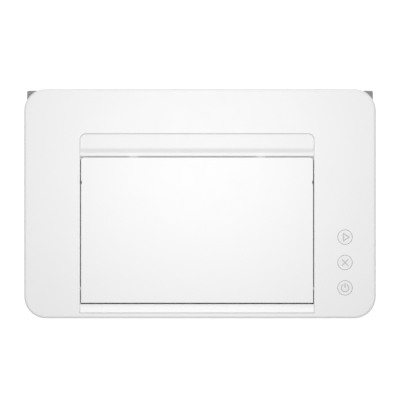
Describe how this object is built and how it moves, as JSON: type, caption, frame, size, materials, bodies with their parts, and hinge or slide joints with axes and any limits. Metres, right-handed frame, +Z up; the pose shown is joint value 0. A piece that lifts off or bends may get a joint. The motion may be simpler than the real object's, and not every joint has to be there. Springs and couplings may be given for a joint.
{
  "type": "desktop laser printer",
  "caption": "Compact monochrome laser printer with a lifting top, a fold-over output tray lid, a fold-down paper tray, round buttons and a working gear train.",
  "frame": {"origin": "on the desk, under the middle of the case", "axes": "+X the operator's right, +Y the rear, +Z up"},
  "size_m": [0.331, 0.216, 0.178],
  "materials": {
    "white_case": "fine matt grain",
    "grey_case": "fine matt grain",
    "grey_liner": "fine matt grain",
    "dark_plastic": "matt",
    "black_plastic": "matt",
    "button_cap": "satin",
    "pale_plastic": "smooth",
    "circuit_board": "satin",
    "rubber": "matt",
    "roller_foam": "matt",
    "sheet_steel": "galvanised",
    "steel": "ground",
    "brass": "machined",
    "drum_green": "coated, glossy",
    "lens": "clear",
    "mirror": "polished"
  },
  "bodies": {
    "case": {"left_side_cover": "white_case", "right_side_cover": "white_case", "rear_frame": "grey_case", "case_screws": "steel", "power_inlet": "black_plastic", "usb_port": "steel", "base_frame": "dark_plastic", "rubber_feet": "rubber", "left_frame_plate": "sheet_steel", "right_frame_plate": "sheet_steel", "roller_bushes": "black_plastic", "inner_panel": "dark_plastic", "tray_plate": "dark_plastic", "separation_pad": "rubber", "lift_spring": "steel", "drive_bracket": "sheet_steel", "drive_motor": "steel", "toner_cartridge": "black_plastic", "cartridge_ends": "dark_plastic", "scanner_shelf": "sheet_steel", "scanner_housing": "black_plastic", "scanner_lid": "dark_plastic", "scanner_lens": "lens", "fuser_frame": "sheet_steel", "exit_guide": "dark_plastic", "main_board": "circuit_board", "power_board": "circuit_board", "fan_frame": "black_plastic"},
    "top_lid": {"top_cover": "white_case", "output_tray": "white_case", "button_board": "circuit_board"},
    "flap": {"output_flap": "white_case"},
    "power_key": {"power_button": "button_cap"},
    "cancel_key": {"cancel_button": "button_cap"},
    "resume_key": {"resume_button": "button_cap"},
    "door": {"front_door": "white_case", "door_tray": "grey_liner"},
    "jam_door": {"rear_cover": "grey_case"},
    "lift": {"lift_plate": "sheet_steel"},
    "guide_left": {"left_paper_guide": "grey_liner"},
    "guide_right": {"right_paper_guide": "grey_liner"},
    "pinion": {"guide_pinion": "pale_plastic"},
    "pickup": {"pickup_shaft": "steel", "pickup_tyre": "rubber"},
    "drum": {"opc_drum": "drum_green", "drum_gear": "pale_plastic"},
    "transfer": {"transfer_roller": "roller_foam"},
    "feed": {"feed_roller": "rubber"},
    "pinch": {"pinch_roller": "pale_plastic"},
    "heat": {"heat_roller": "black_plastic"},
    "pressure": {"pressure_roller": "roller_foam"},
    "exit": {"exit_roller": "rubber"},
    "idlers": {"exit_idlers": "pale_plastic"},
    "carrier": {"carrier_gear": "pale_plastic"},
    "reduction": {"reduction_gear": "pale_plastic"},
    "motor": {"motor_pinion": "brass"},
    "mirror_head": {"polygon_mirror": "mirror"},
    "fan": {"fan_rotor": "black_plastic"}
  },
  "joints": [
    {"name": "cover_hinge", "type": "hinge", "parent": "case", "child": "top_lid", "pos_m": [0, 0.102, 0.148], "axis": [-1, 0, 0], "range_deg": [0, 50]},
    {"name": "flap_hinge", "type": "hinge", "parent": "top_lid", "child": "flap", "pos_m": [-0.0028, -0.08, 0.173], "axis": [1, 0, 0], "range_deg": [0, 146]},
    {"name": "door_hinge", "type": "hinge", "parent": "case", "child": "door", "pos_m": [0, -0.1, 0.012], "axis": [1, 0, 0], "range_deg": [0, 90]},
    {"name": "jam_door_hinge", "type": "hinge", "parent": "case", "child": "jam_door", "pos_m": [-0.0028, 0.1042, 0.0405], "axis": [-1, 0, 0], "range_deg": [0, 80]},
    {"name": "lift_hinge", "type": "hinge", "parent": "case", "child": "lift", "pos_m": [-0.0028, -0.045, 0.017], "axis": [1, 0, 0], "range_deg": [-8, 0], "stiffness_Nm_per_rad": 2, "springref_deg": 6.88, "deforming": ["lift_spring"]},
    {"name": "guide_left_slide", "type": "slide", "parent": "case", "child": "guide_left", "axis": [1, 0, 0], "range_m": [0, 0.066]},
    {"name": "guide_right_slide", "type": "slide", "parent": "case", "child": "guide_right", "axis": [1, 0, 0], "range_m": [-0.066, 0]},
    {"name": "guide_pinion_spin", "type": "hinge", "parent": "case", "child": "pinion", "pos_m": [-0.0028, -0.0715, 0.0085], "axis": [0, 0, 1], "range_deg": [-600, 600]},
    {"name": "pickup_spin", "type": "hinge", "parent": "case", "child": "pickup", "pos_m": [-0.0028, 0.052, 0.05], "axis": [1, 0, 0], "continuous": true},
    {"name": "drum_spin", "type": "hinge", "parent": "case", "child": "drum", "pos_m": [-0.0028, 0.06, 0.098], "axis": [1, 0, 0], "continuous": true},
    {"name": "transfer_spin", "type": "hinge", "parent": "case", "child": "transfer", "pos_m": [-0.0028, 0.08, 0.098], "axis": [1, 0, 0], "continuous": true},
    {"name": "feed_spin", "type": "hinge", "parent": "case", "child": "feed", "pos_m": [-0.0028, 0.07407, 0.07038], "axis": [1, 0, 0], "continuous": true},
    {"name": "pinch_spin", "type": "hinge", "parent": "case", "child": "pinch", "pos_m": [-0.0028, 0.08587, 0.07038], "axis": [1, 0, 0], "continuous": true},
    {"name": "heat_spin", "type": "hinge", "parent": "case", "child": "heat", "pos_m": [-0.0028, 0.06556, 0.12951], "axis": [1, 0, 0], "continuous": true},
    {"name": "pressure_spin", "type": "hinge", "parent": "case", "child": "pressure", "pos_m": [-0.0028, 0.08596, 0.12951], "axis": [1, 0, 0], "continuous": true},
    {"name": "exit_spin", "type": "hinge", "parent": "case", "child": "exit", "pos_m": [-0.0028, 0.052, 0.1555], "axis": [1, 0, 0], "continuous": true},
    {"name": "idler_spin", "type": "hinge", "parent": "case", "child": "idlers", "pos_m": [-0.0028, 0.052, 0.1644], "axis": [1, 0, 0], "continuous": true},
    {"name": "carrier_spin", "type": "hinge", "parent": "case", "child": "carrier", "pos_m": [-0.126, 0.06508, 0.15051], "axis": [1, 0, 0], "continuous": true},
    {"name": "reduction_spin", "type": "hinge", "parent": "case", "child": "reduction", "pos_m": [-0.126, 0.02155, 0.10903], "axis": [1, 0, 0], "continuous": true},
    {"name": "motor_spin", "type": "hinge", "parent": "case", "child": "motor", "pos_m": [-0.126, -0.00383, 0.09719], "axis": [1, 0, 0], "continuous": true},
    {"name": "mirror_spin", "type": "hinge", "parent": "case", "child": "mirror_head", "pos_m": [-0.006, -0.0525, 0.0685], "axis": [0, 0, 1], "continuous": true},
    {"name": "fan_spin", "type": "hinge", "parent": "case", "child": "fan", "pos_m": [-0.1627, -0.062, 0.105], "axis": [1, 0, 0], "continuous": true},
    {"name": "power_press", "type": "slide", "parent": "top_lid", "child": "power_key", "axis": [0, 0, -1], "range_m": [0, 0.0008], "stiffness_N_per_m": 400, "springref_m": -0.001},
    {"name": "cancel_press", "type": "slide", "parent": "top_lid", "child": "cancel_key", "axis": [0, 0, -1], "range_m": [0, 0.0008], "stiffness_N_per_m": 400, "springref_m": -0.001},
    {"name": "resume_press", "type": "slide", "parent": "top_lid", "child": "resume_key", "axis": [0, 0, -1], "range_m": [0, 0.0008], "stiffness_N_per_m": 400, "springref_m": -0.001}
  ],
  "couplings": [
    {"joint": "guide_right_slide", "follows": "guide_left_slide", "ratio": -1},
    {"joint": "guide_pinion_spin", "follows": "guide_left_slide", "rad_per_m": -142.86},
    {"joint": "transfer_spin", "follows": "drum_spin", "ratio": -1.2222},
    {"joint": "feed_spin", "follows": "drum_spin", "ratio": -1.3846},
    {"joint": "pinch_spin", "follows": "drum_spin", "ratio": 2.2028},
    {"joint": "heat_spin", "follows": "drum_spin", "ratio": -1.2857},
    {"joint": "pressure_spin", "follows": "drum_spin", "ratio": 1.4211},
    {"joint": "carrier_spin", "follows": "drum_spin", "ratio": 2.5714},
    {"joint": "exit_spin", "follows": "drum_spin", "ratio": -2.5714},
    {"joint": "idler_spin", "follows": "drum_spin", "ratio": 3.6735},
    {"joint": "reduction_spin", "follows": "drum_spin", "ratio": -0.81818},
    {"joint": "motor_spin", "follows": "drum_spin", "ratio": 3}
  ]
}
